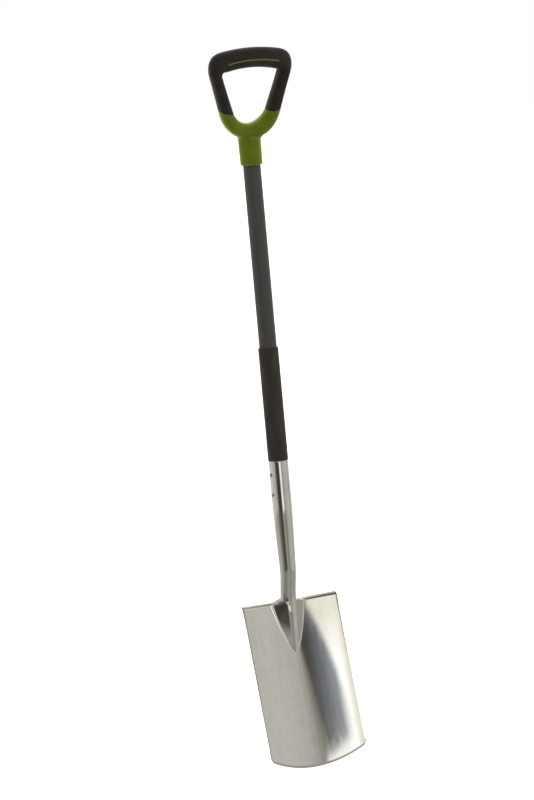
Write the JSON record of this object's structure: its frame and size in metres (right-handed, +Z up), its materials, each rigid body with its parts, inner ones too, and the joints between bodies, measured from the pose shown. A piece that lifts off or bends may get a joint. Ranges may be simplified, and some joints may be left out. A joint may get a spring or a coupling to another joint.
{
  "type": "digging spade",
  "caption": "Digging spade with a dished stainless blade and folded treads, a stainless socket, a coated tubular shaft with a sleeve grip, and a green and black D handle.",
  "frame": {"origin": "middle of the grip bar's underside, where the spade hangs on a hook", "axes": "+Z up along the shaft towards the grip, -Y out of the blade's dished front, +X across the blade"},
  "size_m": [0.1832, 0.0743, 1.1763],
  "materials": {
    "stainless_steel": "polished stainless steel",
    "powder_coated_steel": "satin dark grey powder coat",
    "black_foam_rubber": "matt black foam rubber",
    "green_polypropylene": "satin green polypropylene",
    "black_soft_overmould": "matt black soft overmould",
    "rivet_steel": "dull grey steel",
    "zinc_plated_steel": "bright zinc plate"
  },
  "bodies": {
    "root": {"blade": "stainless_steel", "neck_socket": "stainless_steel", "shaft_tube": "powder_coated_steel", "grip_sleeve": "black_foam_rubber", "handle_core": "green_polypropylene", "grip_overmould": "black_soft_overmould", "rivet_upper": "rivet_steel", "rivet_lower": "rivet_steel", "handle_screw": "zinc_plated_steel"}
  },
  "joints": []
}
